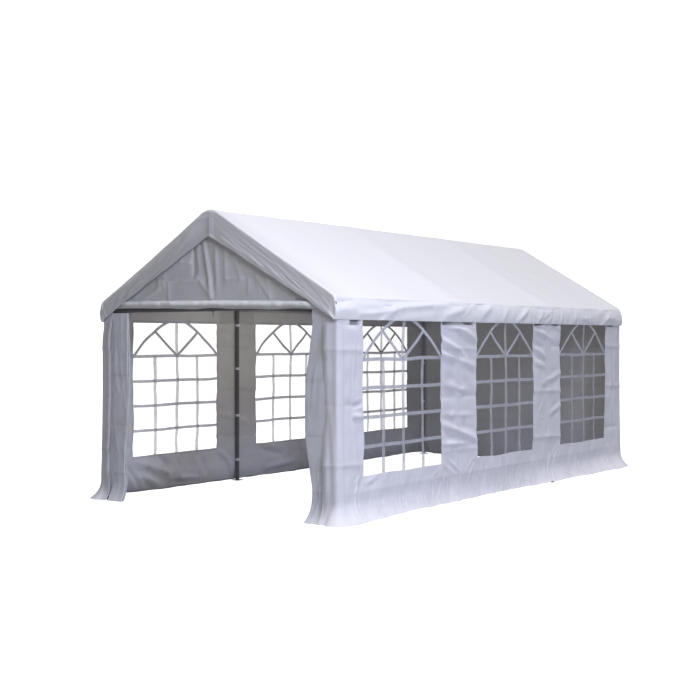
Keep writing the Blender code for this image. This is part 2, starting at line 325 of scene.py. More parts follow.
def push(points, relief):
    """Moves each point of a grid of cloth out from its face."""
    normal = np.cross(np.gradient(points, axis=0), np.gradient(points, axis=1))
    normal /= np.linalg.norm(normal, axis=-1, keepdims=True) + 1e-12
    return points + relief[..., None] * normal


def apply_modifiers(piece):
    bpy.ops.object.select_all(action="DESELECT")
    piece.select_set(True)
    bpy.context.view_layer.objects.active = piece
    for modifier in list(piece.modifiers):
        bpy.ops.object.modifier_apply(modifier=modifier.name)


def sew(name, points, cut, crease_and_shade, finishes, thickness=CLOTH_THICKNESS, keep=None, turned=False):
    """A piece of cloth from a grid of points on its outer face, with its thickness behind them.
    cut is each point's place on the flat cloth, and keep says which squares there are."""
    rows, columns = points.shape[:2]
    number = np.arange(rows * columns).reshape(rows, columns)
    corners = [number[:-1, :-1], number[1:, :-1], number[1:, 1:], number[:-1, 1:]]
    squares = np.stack(corners[::-1] if turned else corners, -1)
    squares = squares[keep] if keep is not None else squares.reshape(-1, 4)
    used, faces = np.unique(squares, return_inverse=True)
    faces = faces.reshape(-1, 4)
    mesh = bpy.data.meshes.new(name)
    mesh.from_pydata(points.reshape(-1, 3)[used].tolist(), [], faces.tolist())
    layer = mesh.uv_layers.new(name="cut")
    layer.data.foreach_set("uv", cut.reshape(-1, 2)[used][faces.ravel()].astype(np.float32).ravel())
    attribute = mesh.attributes.new("crease_and_shade", "FLOAT", "POINT")
    attribute.data.foreach_set("value", crease_and_shade.ravel()[used].astype(np.float32))
    mesh.shade_smooth()
    for finish in finishes:
        mesh.materials.append(finish)
    piece = bpy.data.objects.new(name, mesh)
    bpy.context.scene.collection.objects.link(piece)
    solid = piece.modifiers.new("thickness", "SOLIDIFY")
    solid.thickness, solid.offset = thickness, -1
    solid.material_offset = 1 if len(finishes) > 1 else 0
    apply_modifiers(piece)
    bpy.ops.object.shade_smooth_by_angle(angle=CUT_EDGE_ANGLE)
    return piece


def cover_section(bend_centre, bend_radius):
    """The cover's right half in section, from the hem over the eave's bend to the ridge."""
    turn = np.linspace(0, math.pi / 2 - pitch, 13)[:, None]
    eave = np.array(bend_centre) + bend_radius * np.hstack([np.cos(turn), np.sin(turn)])
    fall = pitch * (1 - np.linspace(0, 1, 13)[:, None])
    centre = np.array((0, cover_peak - RIDGE_RADIUS / math.cos(pitch)))
    ridge = centre + RIDGE_RADIUS * np.hstack([np.sin(fall), np.cos(fall)])
    hem = np.array((cover_high.x, cover_low.z))
    valance_share = stations([0, HEM_WIDTH / 0.2, 1], 0.068)[:-1, None]
    slope_share = stations([0, 1], 0.0245)[1:-1, None]
    valance = hem + valance_share * (eave[0] - hem)
    slope = eave[-1] + slope_share * (ridge[0] - eave[-1])
    return np.concatenate([valance, eave, slope, ridge]), len(valance)


def both_slopes(line):
    """The whole section's x and z, from the left hem over the ridge to the right hem."""
    return np.concatenate([-line[:, 0], line[-2::-1, 0]]), np.concatenate([line[:, 1], line[-2::-1, 1]])


half_turn = (math.pi / 2 - pitch) / 2
bend_centre = (leg_x - LEG_BEND_RADIUS, eave_z - LEG_BEND_RADIUS * math.tan(half_turn))
bar_centre = [
    bend_centre[0] + LEG_BEND_RADIUS * math.cos(half_turn),
    bend_centre[1] + LEG_BEND_RADIUS * math.sin(half_turn),
]
cover_line, hem_points = cover_section(bend_centre, LEG_BEND_RADIUS + FRAME_DEPTH)
bay_line, _ = cover_section(bar_centre, BAR_SLEEVE_RADIUS + REST_GAP)
line_reach = along(cover_line)
valance, half_width = line_reach[hem_points], line_reach[-1]
roof_reach = half_width - valance
across = np.concatenate([line_reach - half_width, (half_width - line_reach[:-1])[::-1]])


def band_edge(xs, zs):
    """The way from each point of the section to the band's lower edge, and how far it is."""
    edge_x, edge_z = BAND_EDGE[-1]
    corner = np.interp(edge_x, cover_line[::-1, 0], half_width - line_reach[::-1])
    share = np.clip((np.abs(across) - corner) / (half_width - corner), 0, 1)
    foot_x = np.where(share > 0, edge_x + share * (cover_high.x - 0.014 - edge_x), np.abs(xs))
    foot_z = np.interp(np.abs(xs), *zip(*BAND_EDGE))
    foot_z = np.where(share > 0, edge_z + share * (cover_low.z - edge_z), foot_z)
    uneven = 0.004 * ripples(across, 0 * across, 3, 0.22) * (1 - share)
    foot_z += uneven * rise(np.abs(across), 0.0, 0.2)
    down = np.stack([foot_x * np.sign(across) - xs, foot_z - zs], -1)
    down[len(xs) // 2, 0] = 0
    depth = np.linalg.norm(down, axis=-1)
    return down / depth[:, None], depth


def cover_rows(depth):
    """Rows from the front band's lower edge over the roof to the back band's: where each point is
    along the tent, and how far down a band."""
    turn = np.linspace(0, math.pi / 2, 7)
    fold_y = cover_high.y - BAND_FOLD_RADIUS
    roof = stations([-fold_y, *SEAM_YS, fold_y], 0.022)
    drops = stations([0, 1], 0.03)
    band = BAND_FOLD_RADIUS + (depth[:, None] - BAND_FOLD_RADIUS) * drops[1:]
    ones = np.ones((len(depth), 1))
    edge_y = fold_y + BAND_FOLD_RADIUS * np.sin(turn)
    edge_drop = BAND_FOLD_RADIUS * (1 - np.cos(turn))
    gable_y = np.concatenate([edge_y[1:], np.full(len(drops) - 1, cover_high.y)]) * ones
    gable_drop = np.concatenate([edge_drop[1:] * ones, band], 1)
    ys = np.concatenate([-gable_y[:, ::-1], roof * ones, gable_y], 1)
    return ys, np.concatenate([gable_drop[:, ::-1], roof * 0 * ones, gable_drop], 1)


def valance_relief(ys, hang, right):
    """How far the valances stand out: hollow, wavy, and pulled into slanting folds."""
    sway = ripples(ys, 0 * ys, 11, 0.8) * right + ripples(ys, 0 * ys, 12, 0.8) * (1 - right)
    pleated = rise(ys, -0.9, -0.2) * (1 - rise(ys, 2.2, 2.9)) * rise(hang, 0.02, 0.08)
    hanging = 0.003 * sway + 0.0015 * ripples(ys, hang, 13, 0.12)
    hanging += 0.0032 * pleated * ripples(ys, hang / 9, 14, 0.055)
    for place, seed, lean in ((right, 21, -16), (1 - right, 22, 16)):
        soft = scattered(seed, 12, (-3, 3), (0.0, valance), lean, 0.5, 0.03, 0.008, 9)
        small = scattered(seed + 10, 34, (-3, 3), (0.0, valance), lean * 3, 0.13, 0.016, 0.0028, 24)
        hanging += place * folds(ys, hang, soft + small)
    hanging += right * folds(ys, hang, VALANCE_FOLDS) + (1 - right) * folds(-ys, hang, VALANCE_FOLDS)
    hanging = np.where(hanging > 0, hanging, 0.7 * hanging)
    return 0.002 * rise(hang, 0.0, 0.05) + 0.013 * hump(hang / valance) + hanging


def band_relief(a, ys, drop, share_down, right):
    """How far the bands stand out: gathered along the slope, rounded on the left, flared on the right,
    creased at the peak, and at the back drawn in round the corners."""
    away = np.abs(a)
    lengthwise = scattered(31, 90, (0.15, half_width - 0.3), (0.015, 0.22), 8, 0.5, 0.0085, 0.0009, 4)
    crosswise = scattered(41, 12, (1.25, half_width - 0.1), (0.02, 0.18), 42, 0.2, 0.014, 0.0013, 12)
    relief = right * folds(away, drop, lengthwise + crosswise)
    relief += rise(away, 0.05, 0.2) * 0.0008 * ripples(away / 8 - 0.2 * drop, drop, 34, 0.034)
    lengthwise = scattered(32, 30, (0.15, half_width - 0.3), (0.01, 0.24), 4, 0.45, 0.016, 0.0035, 8)
    crosswise = scattered(42, 30, (1.15, half_width - 0.05), (0.02, 0.2), 55, 0.2, 0.015, 0.004, 14)
    relief += (1 - right) * folds(away, drop, lengthwise + crosswise)
    relief += right * 0.006 * rise(share_down, 0.3, 0.88) * rise(away, 0.03, 0.3)
    relief += (1 - right) * 0.022 * hump(share_down) * rise(away, 0.03, 0.3)
    hem = mound(share_down, 0.86, 0.09) * rise(away, 0.06, 0.3)
    relief += right * hem * (0.004 + 0.002 * ripples(away, 0 * away, 33, 0.25))
    relief += 0.007 * np.exp(-np.abs(a - 0.012) / 0.03) * np.clip(share_down * 1.4, 0, 1)
    relief += 0.0016 * rise(a, -0.004, 0.004) * (1 - rise(a, 0.05, 0.058))
    return relief - (ys > 0) * 0.055 * rise(away, 1.2, half_width) * share_down


def roof_cover():
    """The whole cover's grid of points, each point's place on the flat cloth, and how strongly it is
    marked:
    its stitching, and the painted shade of the bands and the roof's front margin.
    """
    xs, zs = both_slopes(cover_line)
    bay_xs, bay_zs = both_slopes(bay_line)
    down, depth = band_edge(xs, zs)
    ys, drop = cover_rows(depth)
    share_down = drop / depth[:, None]

    # Over the legs the cloth lies on the welded bends, and between them on the eave bars
    off = np.min([np.abs(np.abs(ys) - y) for y in FRAME_YS], axis=0)
    in_bay = rise(off, 0.03, 0.3)
    x = xs[:, None] + in_bay * (bay_xs - xs)[:, None] + down[:, :1] * drop
    z = zs[:, None] + in_bay * (bay_zs - zs)[:, None] + down[:, 1:] * drop
    share_across = hump(np.abs(across) / half_width, 0.7)[:, None]
    slack = 0.018 * (across[:, None] < 0) * share_across * rise(-ys, 3.0, 3.06)
    z = z - slack * (1 - share_down)
    left_hem = rise(-across, roof_reach + 0.04, half_width)[:, None]
    x = x + 0.022 * left_hem * rise(-ys, 2.5, 3.05)

    a = across[:, None] * np.ones_like(ys)
    away = np.abs(a)
    hang = away - roof_reach
    on_band = rise(drop, 0.004, 0.03)
    on_valance = rise(hang, -0.05, 0.02) * (1 - on_band)
    right = rise(a, -0.05, 0.05)

    # The roof hangs a little between frames, and lies on the rafters
    bay = np.mod((ys + 3) / BAY, 1)
    sag = 4 * bay * (1 - bay) * hump(away / roof_reach)
    relief = -ROOF_SAG * sag * (1 - on_band) + 0.0016 * ripples(a, ys, 5, 0.5) * (1 - on_band)
    for seam in SEAM_YS:
        relief += 0.0014 * (1 - rise(np.abs(ys - seam), SEAM_WIDTH / 2 - 0.004, SEAM_WIDTH / 2 + 0.008))
    relief += on_valance * valance_relief(ys, hang, right)
    relief += on_band * band_relief(a, ys, drop, share_down, right)
    to_edge = np.where(on_band > 0.5, depth[:, None] - drop, 1)
    to_edge = np.minimum(to_edge, np.where(drop > 0, 1, half_width - away))
    hemmed = 1 - rise(to_edge, HEM_WIDTH - 0.006, HEM_WIDTH + 0.004)
    relief += 0.0012 * hemmed

    # Painted shade: the bands are darker than the roof, most of all low down and on the left, paler
    # again at the right hem and corner, and the roof's front margin darkens towards its edge
    wear_and_shade = (0.85 - 0.25 * right + 0.7 * share_down) * (1 - 0.5 * right * hemmed)
    wear_and_shade = wear_and_shade * (1 - 0.6 * right * rise(away, roof_reach - 0.12, half_width - 0.03))
    stitched = 0.3 * mound(to_edge, HEM_WIDTH, 0.006)
    painted_edge_shade = np.clip(1 - (cover_high.y - np.abs(ys)) / 0.26, 0, 1) * (1 - on_band) * (1 - on_valance)
    marked = np.max([stitched, wear_and_shade * on_band, (0.8 - 0.1 * right) * painted_edge_shade * (ys < 0)], axis=0)
    cut = np.stack([a, ys + np.sign(ys) * drop], -1)
    return push(np.stack([x, ys, z], -1), relief), cut, marked, ys[0]


cover_points, cover_cut, cover_marks_and_shade, cover_ys = roof_cover()
# The outer finish's marks also paint the shade of the bands and the roof's front margin
cover_finishes = [
    woven_finish("cover_cloth", ROOF_WHITE, ROOF_SHADE, wear_and_shade=0.62),
    # The inner face is painted darker, as shade of the inside
    woven_finish("cover_inside_shaded", ROOF_INSIDE_SHADED, [0.9 * part for part in ROOF_INSIDE_SHADED[:3]] + [1], 0.6),
]
cover_ends = [0, *(np.argmin(np.abs(cover_ys - seam)) for seam in SEAM_YS), len(cover_ys) - 1]
for number, word in enumerate(("front", "middle", "back"), 1):
    first, last = cover_ends[number - 1 : number + 1]
    strip = slice(first, last + 1)
    grids = (grid[:, strip] for grid in (cover_points, cover_cut, cover_marks_and_shade))
    panel = sew(f"cover_{word}", *grids, cover_finishes)
    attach(panel, "root")
    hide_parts("roof_cover")
    span = np.abs(cover_cut[0, last, 1] - cover_cut[0, first, 1])

# Side walls. A cloth wall on each side laps round both corner legs. Three windows are cut in it, and
# its skirt spreads on the ground. It keeps the folds that it was packed in.
WALL_BLUE_WHITE = (0.77, 0.755, 0.83, 1)
WALL_SHADE = (0.7, 0.685, 0.745, 1)
SIDES = (("left", -1), ("right", 1))
LEFT_FOLDS = (
    (-2.62, 0.36, -1.8, 0.1, 0, 0.045, -0.03), (-2.5, 0.2, -2.2, 0.06, 0, 0.028, -0.026),
    (-2.25, 0.4, -1.95, 0.05, 0.02, 0.03, 0.026), (-2.02, 0.34, -1.88, 0.08, 0, 0.02, -0.02),
    (-1.6, 0.36, -1.48, 0.1, 0, 0.03, 0.02), (-1.3, 0.38, -1.05, 0.12, 0.02, 0.03, -0.02),
    (-2.7, 0.3, -2.45, 0.02, 0, 0.02, 0.018), (-2.1, 0.12, -1.55, 0.08, 0.01, 0.02, -0.014),
    (-0.62, 0.34, -0.1, 0.22, 0, 0.035, 0.022), (-0.5, 0.1, 0.1, 0.14, 0, 0.03, -0.02),
    (0.2, 0.36, 0.32, 0.08, 0, 0.03, 0.02), (-1.36, 1.06, -0.62, 1.02, 0, 0.03, 0.008),
    (-1.36, 0.8, -0.7, 0.62, 0.015, 0.03, -0.01), (-1.36, 1.72, -0.66, 1.6, 0.015, 0.03, 0.01),
)
# The walls' inner faces are the same cloth, painted darker and warmer as shade of the inside
WALL_INSIDE_SHADED = (0.62, 0.6, 0.595, 1)
WALL_INSIDE_DEEP_SHADE = (0.54, 0.52, 0.515, 1)
FILM_LAP = 0.02
FILM_GAP = 0.0038
WALL_CORNER_RADIUS = 0.026
SKIRT_HEIGHT = 0.19
SKIRT_LIMIT = (1.6, 0.036)
SKIRT_REACHES = (
    (-3.12, 0.11), (-2.98, 0.115), (-2.85, 0.125), (-2.5, 0.11), (-2.1, 0.07), (-1.8, 0.062),
    (-1.2, 0.056), (-0.7, 0.045), (-0.1, 0.04), (0.3, 0.052), (0.9, 0.075), (1.6, 0.09),
    (2.1, 0.115), (2.8, 0.13), (2.98, 0.12), (3.08, 0.06),
)
PACKED_HEIGHTS = (0.51, 1.035, 1.535)
COLUMN_YS = (-0.9825, 0.9825)
WALL_UPRIGHT_CREASES = (-2.95, -1, -0.1, 0.95, 2.1, 2.95)
WALL_CREASE_WAYS = ((1, -1, 1), (1, -1, 1), (1, 1, -1), (-1, 1, 1))
RIGHT_HEADING = (
    (-3.1, 1.79), (-2.86, 1.755), (-2.8, 1.749), (-2.5, 1.757), (-1.2, 1.768), (1, 1.78), (3.1, 1.787),
)
LEFT_HEADING = 1.803
# Painted shadow under the valance, on the walls' heading
VALANCE_SHADOW_GREY = (0.42, 0.415, 0.425, 1)
RIGHT_FOLDS = (
    (-1.34, 1.83, -0.6, 1.6, 0.02, 0.033, 0.022), (-1.4, 1.65, -0.8, 1.42, 0.02, 0.03, 0.021),
    (-1.4, 1.5, -0.64, 1.33, 0.015, 0.03, 0.019), (-1.28, 1.19, -0.8, 1.1, 0, 0.034, 0.015),
    (-1.38, 0.8, -0.56, 0.56, 0.016, 0.034, 0.02), (-1.32, 0.885, -0.7, 0.85, 0, 0.022, 0.009),
    (-1.36, 0.59, -0.76, 0.57, 0, 0.024, 0.013), (-1.2, 0.43, -0.95, 0.28, 0, 0.02, 0.01),
    (0.8, 1.86, 1.4, 1.765, 0, 0.032, 0.011), (0.64, 1.74, 1.16, 1.61, 0.012, 0.028, 0.013),
    (0.6, 1.56, 0.98, 1.395, 0.012, 0.028, 0.012), (0.6, 1.39, 1.04, 1.295, 0, 0.026, 0.009),
    (0.8, 1.12, 1.38, 1.25, 0, 0.032, 0.01), (1, 0.75, 1.38, 0.89, 0, 0.028, 0.009),
    (0.97, -0.02, 1.07, 0.34, 0.01, 0.016, 0.014), (-2.8, 1.03, -2.62, 1.055, 0, 0.018, -0.012),
    (-2.8, 0.95, -2.6, 0.93, 0, 0.022, 0.015), (-2.79, 0.92, -2.68, 0.42, -0.02, 0.018, 0.011),
    (-2.74, 1.72, -2.78, 1.15, -0.01, 0.016, 0.006), (-2.66, 0.46, -2.76, 0.04, -0.02, 0.016, 0.01),
    (-2.35, 0.4, -2.62, 0.34, 0.02, 0.02, 0.006), (-3.105, 1.1, -3.02, 0.12, 0.012, 0.022, 0.01),
    (-3.045, 0.95, -3.035, 0.3, 0, 0.014, -0.006), (-1.28, 0.4, -1, 0.24, 0, 0.02, 0.007),
    (2.7, 1.6, 2.78, 0.3, 0.02, 0.03, 0.009), (2.9, 1.75, 2.86, 0.5, -0.02, 0.025, 0.007),
)
RIGHT_PULL = (
    (-2.97, 0), (-2.6065, -0.045), (-1.965, -0.024), (-1.3235, 0.006), (-0.64, 0.02),
    (0.64, -0.01), (1.3235, -0.003), (2.6065, -0.052), (2.97, 0),
)

film_low, film_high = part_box("window_film_right_1")
wall_x = film_high.x + FILM_GAP
wall_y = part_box("back_wall")[1].y - 0.045
wall_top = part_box("side_wall_right")[1].z
return_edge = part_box("front_curtain_right")[1].x + 0.0003
window_sill, window_head = film_low.z + FILM_LAP, film_high.z - FILM_LAP
windows = []
for bay_number in (1, 2, 3):
    low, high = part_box(f"window_film_right_{bay_number}")
    windows.append((low.y + FILM_LAP, high.y - FILM_LAP))
run_half = wall_y - WALL_CORNER_RADIUS
quarter = math.pi / 2 * WALL_CORNER_RADIUS
wall_half = run_half + quarter + wall_x - WALL_CORNER_RADIUS - return_edge


def wall_folds(side, seed):
    """A side wall's soft folds: its own, then small ones at the corners, round the windows, on the
    columns between them, and along the foot."""
    draw = np.random.default_rng(seed + 4)
    lines = list(RIGHT_FOLDS if side > 0 else LEFT_FOLDS)
    if side < 0:
        centre = COLUMN_YS[1]
        for i in range(8):
            z0 = 1.80 - 0.19 * i + draw.uniform(-0.05, 0.05)
            fall, reach = draw.uniform(0.02, 0.26), draw.uniform(0.25, 0.4)
            width, height = draw.uniform(0.02, 0.034), draw.uniform(0.006, 0.013)
            lines.append((centre - reach, z0, centre + reach, z0 - fall, 0.015, width, height))
    for end in (-1, 1):
        zone = sorted((2.64 * end, 2.98 * end))
        lines += scattered(seed + 6 + end, 9, zone, (0.3, 1.75), 74 * end, 0.4, 0.018, 0.005)
    for low, high in windows:
        for s0, way in ((low, -1), (high, 1)):
            for z0, fall in ((window_sill, -0.26), (window_sill + 0.02, -0.15)):
                far = s0 + way * draw.uniform(0.12, 0.25)
                lines.append((s0 + way * 0.01, z0, far, z0 + fall, 0.02 * way, 0.013, 0.0045))
    for place in COLUMN_YS:
        zone = (place - 0.3, place + 0.3)
        lines += scattered(seed + 12, 9, zone, (0.45, 1.75), -20 * side, 0.2, 0.014, 0.004, 30)
    return lines + scattered(seed + 9, 46, (-2.9, 2.9), (0.03, 0.36), 80, 0.24, 0.015, 0.0032, 18)


def wall_creases():
    """A side wall's packing creases: uprights, three across each column, and one along the foot."""
    packed = []
    for place, way in zip(WALL_UPRIGHT_CREASES, (1, -1) * 3):
        packed.append((place, 0.02, place, 1.8, 0.03, 0.003 * way))
    for column, ways in zip((-3, *COLUMN_YS, 3), WALL_CREASE_WAYS):
        for height, way in zip(PACKED_HEIGHTS, ways):
            ends = (column - 0.4, height + 0.012, column + 0.4, height - 0.012 * way)
            packed.append((*ends, 0.035, 0.009 * way))
    return [*packed, (-3.1, 0.25, 3.1, 0.27, 0.03, 0.003)]


def wall_relief(side, s, z):
    """How far a side wall's cloth stands out at a place on it, and how strongly it is marked: its
    creases, and 2 on the heading, where the shadow under the valance is painted.
    """
    seed = 100 if side > 0 else 200
    post = np.min([np.abs(np.abs(s) - y) for y in FRAME_YS], axis=0)
    low_skirt = 1 - rise(z, 0.25, 0.5)
    relief = 0.007 * ripples(s, z, seed, 0.9) * (1 - 0.85 * mound(post, 0, 0.1))
    relief += 0.0028 * ripples(s, z, seed + 1, 0.2)
    relief += low_skirt * 0.0032 * ripples(s, z / 7, seed + 2, 0.13) * rise(s, -2.0, 2.0)
    relief += low_skirt * 0.0022 * ripples(s, z / 4, seed + 3, 0.05)
    relief += folds(s, z, wall_folds(side, seed))
    packed, marked = creases(s, z, wall_creases())
    relief += packed
    relief = np.where(relief < 0, relief * rise(post, 0.015, 0.14), relief)

    # The upper edge hangs just below the valance, and the heading above it goes in under the eave bar.
    # The heading is marked 2, which paints the shadow under the valance on it in grey
    edge = np.interp(s, *zip(*RIGHT_HEADING)) if side > 0 else LEFT_HEADING
    slot = rise(z, edge, edge + 0.014) * (1 - rise(np.abs(s), 2.80, 2.83))
    for low, high in windows:
        beyond = rise(-s, 0.02 - low, 0.06 - low) + rise(s, high + 0.02, high + 0.06)
        slot = slot * np.clip(beyond, 0, 1)
    sunk = 0.001 + (0.036 if side > 0 else 0.012) * rise(post, 0.06, 0.24)
    return relief * (1 - rise(z, edge - 0.04, edge)) - slot * sunk, np.maximum(marked, 2 * slot)


def wall_point(side, s, z, depth=0.0):
    """A point on a side wall, at a place along its plan and a height, some depth behind its face."""
    end = np.sign(s)
    seed = 150 if side > 0 else 250
    turn = np.clip((np.abs(s) - run_half) / WALL_CORNER_RADIUS, 0, math.pi / 2)
    back = np.clip(np.abs(s) - run_half - quarter, 0, None)
    near_corner = rise(np.abs(s), 2.4, run_half)
    below_heading = 1 - rise(z, 1.7, 1.8)

    # The cloth stands out in its relief, spreads in the skirt, leans out at the corners, and bulges on
    # the returns
    relief = wall_relief(side, s, z)[0] * (1 - 0.6 * mound(np.abs(s), run_half + quarter / 2, 0.06))
    down = np.clip(1 - z / SKIRT_HEIGHT, 0, 1)
    reach = np.interp(s, *zip(*SKIRT_REACHES)) + 0.004 * ripples(s, 0 * s, seed, 0.25)
    skirt = reach * (1 - 0.35 * rise(back, 0.0, 0.06)) * down**1.9
    lean = 0.022 * near_corner * np.clip(1 - z / 1.2, 0, 1) ** 1.5
    if side < 0:
        lean = lean + 0.014 * near_corner * (s < 0) * (1 - rise(z, 1.6, 1.78))
    crest, spread, height = (0.085, 0.035, 0.012) if side > 0 else (0.104, 0.05, 0.030)
    bulge = height * mound(back, crest, spread) * rise(z, 0.05, 0.3) * (1 - rise(z, 1.7, 1.9))
    push_out = relief + skirt + lean + bulge - depth

    # It is also drawn along the wall, and up and down
    shift = 0.009 * ripples(s, z, seed + 1, 0.32) * rise(z, 0.1, 0.4) * below_heading
    shift = shift * (1 - rise(np.abs(s), 2.85, 2.98))
    lift = 0.004 * ripples(s, z, seed + 2, 0.5) * rise(z, 0.2, 0.4) * below_heading
    if side > 0:
        shift = shift + np.interp(s, *zip(*RIGHT_PULL)) * (1 - 0.6 * rise(z, 1.55, 1.8) * (s > -2))
        shift = shift + 0.030 * mound(s, -2.62, 0.2) * mound(z, 0.72, 0.3)
        lift = lift + 0.012 * mound(s, -0.55, 0.22) * mound(z, 0.4, 0.12)
    lift = lift + down**2 * (0.006 + 0.005 * ripples(s, 0 * s, seed + 3, 0.3))
    x = wall_x - WALL_CORNER_RADIUS + (WALL_CORNER_RADIUS + push_out) * np.cos(turn) - back
    y = np.clip(s, -run_half, run_half) + end * (WALL_CORNER_RADIUS + push_out) * np.sin(turn) + shift
    limit, slack = SKIRT_LIMIT
    x = np.where(x > limit, limit + slack * np.tanh((x - limit) / slack), x)
    return np.stack([side * x, y, z * (1 - 0.25 * down**2) + lift], -1)


def side_wall(name, side, finishes):
    edges = sorted(edge for window in windows for edge in window)
    ends = [run_half, run_half + quarter, wall_half]
    marks = [-end for end in reversed(ends)] + sorted([*edges, -2.95, *COLUMN_YS, 2.95]) + ends
    levels = [0.002, HEM_WIDTH, SKIRT_HEIGHT, window_sill, *PACKED_HEIGHTS, window_head, wall_top]
    heights = np.unique(np.concatenate([stations(levels, 0.0175), stations([1.734, 1.81], 0.006)]))
    s, z = np.meshgrid(stations(marks, 0.0165), heights, indexing="ij")
    middle_s = (s[:-1, :-1] + s[1:, 1:]) / 2
    middle_z = (z[:-1, :-1] + z[1:, 1:]) / 2
    keep = np.ones_like(middle_s, bool)
    for low, high in windows:
        inside = (middle_s > low) & (middle_s < high)
        keep &= ~(inside & (middle_z > window_sill) & (middle_z < window_head))
    marked = wall_relief(side, s, z)[1]
    cut = np.stack([s, z], -1)
    return sew(name, wall_point(side, s, z), cut, marked, finishes, keep=keep, turned=side < 0)


# The outer finish paints the shadow under the valance on the heading
wall_cloth = woven_finish("wall_cloth", WALL_BLUE_WHITE, WALL_SHADE, soil=0.35, valance_shadow=VALANCE_SHADOW_GREY)
# The inner finish is painted darker as shade of the inside, with a cooler light and a contact shadow
# painted low down
wall_inside_shaded = woven_finish("wall_inside_shaded", WALL_INSIDE_SHADED, WALL_INSIDE_DEEP_SHADE, 0.6, foot_shade=0.85)
window_area = sum(high - low for low, high in windows) * (window_head - window_sill)
wall_flat = (2 * wall_half, wall_top)
for word, side in SIDES:
    wall = side_wall(f"wall_{word}", side, [wall_cloth, wall_inside_shaded])
    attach(wall, "root")
    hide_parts(f"side_wall_{word}")
    wall_flat[0] * wall_flat[1] - window_area

# Windows. Clear soft film is welded behind each opening, and white tape is welded on the film: four
# crossbars, three uprights, and an arch over two spokes, like a leaded light.
FILM_THICKNESS = 0.0006
WELD_GAP = 0.0004
BAR_WIDTH = 0.032
UPRIGHT_WIDTH = 0.044
BAR_THICKNESS = 0.0009
BAR_GAP = 0.0001
SPRING_HEIGHT = 1.449
CROSSBAR_HEIGHTS = (1.186, 0.923, 0.66)
ARCH_LAP = 0.034
ARCH_POWER = 1.66
SPOKE_REACH = 0.52
TAPE_STEP = 0.03
ARCH_DENSITY = 0.88
CROSSBAR_DENSITY = 0.68
UPRIGHT_DENSITY = 0.46
BAR_COLOUR = (0.7, 0.69, 0.75, 1)
BAR_SHADE = (0.6, 0.59, 0.65, 1)
FILM_TINT = (0.36, 0.355, 0.37, 1)


def film_finish():
    made, shader, place = new_finish("clear_film", Base_Color=FILM_TINT, Specular_IOR_Level=0.35)
    facing = place.add("LayerWeight", {}, {"Blend": 0.25}, output=1)
    (facing * 0.10 + 0.055).feed(shader.inputs["Alpha"])
    (place.noise(3) * 0.12 + 0.05).feed(shader.inputs["Roughness"])
    (place.noise(5, 2) * 0.002).emboss(shader)
    return made


def tape_finish():
    """White tape that lets some light through, less where two lie on each other."""
    made, shader, place = new_finish("window_tape", Roughness=0.42, Specular_IOR_Level=0.45)
    place.add("Attribute", {"attribute_name": "dense"}, output=2).feed(shader.inputs["Alpha"])
    place.noise(12, 4).between(0.3, 0.7).blend(BAR_COLOUR, BAR_SHADE).feed(shader.inputs["Base Color"])
    (place.noise(90, 2) * 0.0003).emboss(shader)
    return made


def window_sheet(side, low, high):
    s, z = np.meshgrid(
        stations([low - FILM_LAP, high + FILM_LAP], 0.03),
        stations([window_sill - FILM_LAP, window_head + FILM_LAP], 0.03),
        indexing="ij",
    )
    points = wall_point(side, s, z, CLOTH_THICKNESS + WELD_GAP)
    return points, np.stack([s, z], -1), 0 * s


def ribbon(side, path, width):
    """A strip of tape on the film, along a path of points (s, z), as a closed strip of boxes."""
    path = np.array(path)
    way = np.gradient(path, axis=0)
    way /= np.linalg.norm(way, axis=1, keepdims=True)
    beside = np.stack([-way[:, 1], way[:, 0]], -1) * width / 2
    face = CLOTH_THICKNESS + WELD_GAP + FILM_THICKNESS + BAR_GAP
    rings = []
    for share, depth in ((-1, face + BAR_THICKNESS), (1, face + BAR_THICKNESS), (1, face), (-1, face)):
        place = path + share * beside
        rings.append(wall_point(side, place[:, 0], place[:, 1], depth))
    rings = np.stack(rings, 1)
    count = len(path)
    faces = [(0, 1, 2, 3), tuple(4 * count - 4 + i for i in (3, 2, 1, 0))]
    for i in range(count - 1):
        for j in range(4):
            k = (j + 1) % 4
            faces.append((4 * i + j, 4 * (i + 1) + j, 4 * (i + 1) + k, 4 * i + k))
    if side > 0:
        faces = [face[::-1] for face in faces]
    return rings.reshape(-1, 3), faces


def straight(start, end):
    return np.linspace(start, end, max(3, math.ceil(math.dist(start, end) / TAPE_STEP) + 1))


def window_bars(low, high):
    """One window's tapes: each one's path on the wall, its width and how dense it is."""
    middle, half = (low + high) / 2, (high - low) / 2
    arch_rise = window_head + ARCH_LAP - SPRING_HEIGHT

    def on_arch(share):
        return middle + share * half, SPRING_HEIGHT + arch_rise * (1 - abs(share) ** ARCH_POWER)

    paths = [([on_arch(i / 16 - 1) for i in range(33)], BAR_WIDTH, ARCH_DENSITY)]
    for height in (SPRING_HEIGHT, *CROSSBAR_HEIGHTS):
        paths.append((straight((low, height), (high, height)), BAR_WIDTH, CROSSBAR_DENSITY))
    for share, top in ((-0.5, SPRING_HEIGHT), (0.5, SPRING_HEIGHT), (0, window_head)):
        upright = straight((middle + share * half, window_sill), (middle + share * half, top))
        paths.append((upright, UPRIGHT_WIDTH, UPRIGHT_DENSITY))
    for way in (-1, 1):
        spoke = straight((middle, SPRING_HEIGHT), on_arch(way * SPOKE_REACH))
        paths.append((spoke, BAR_WIDTH, ARCH_DENSITY))
    return paths


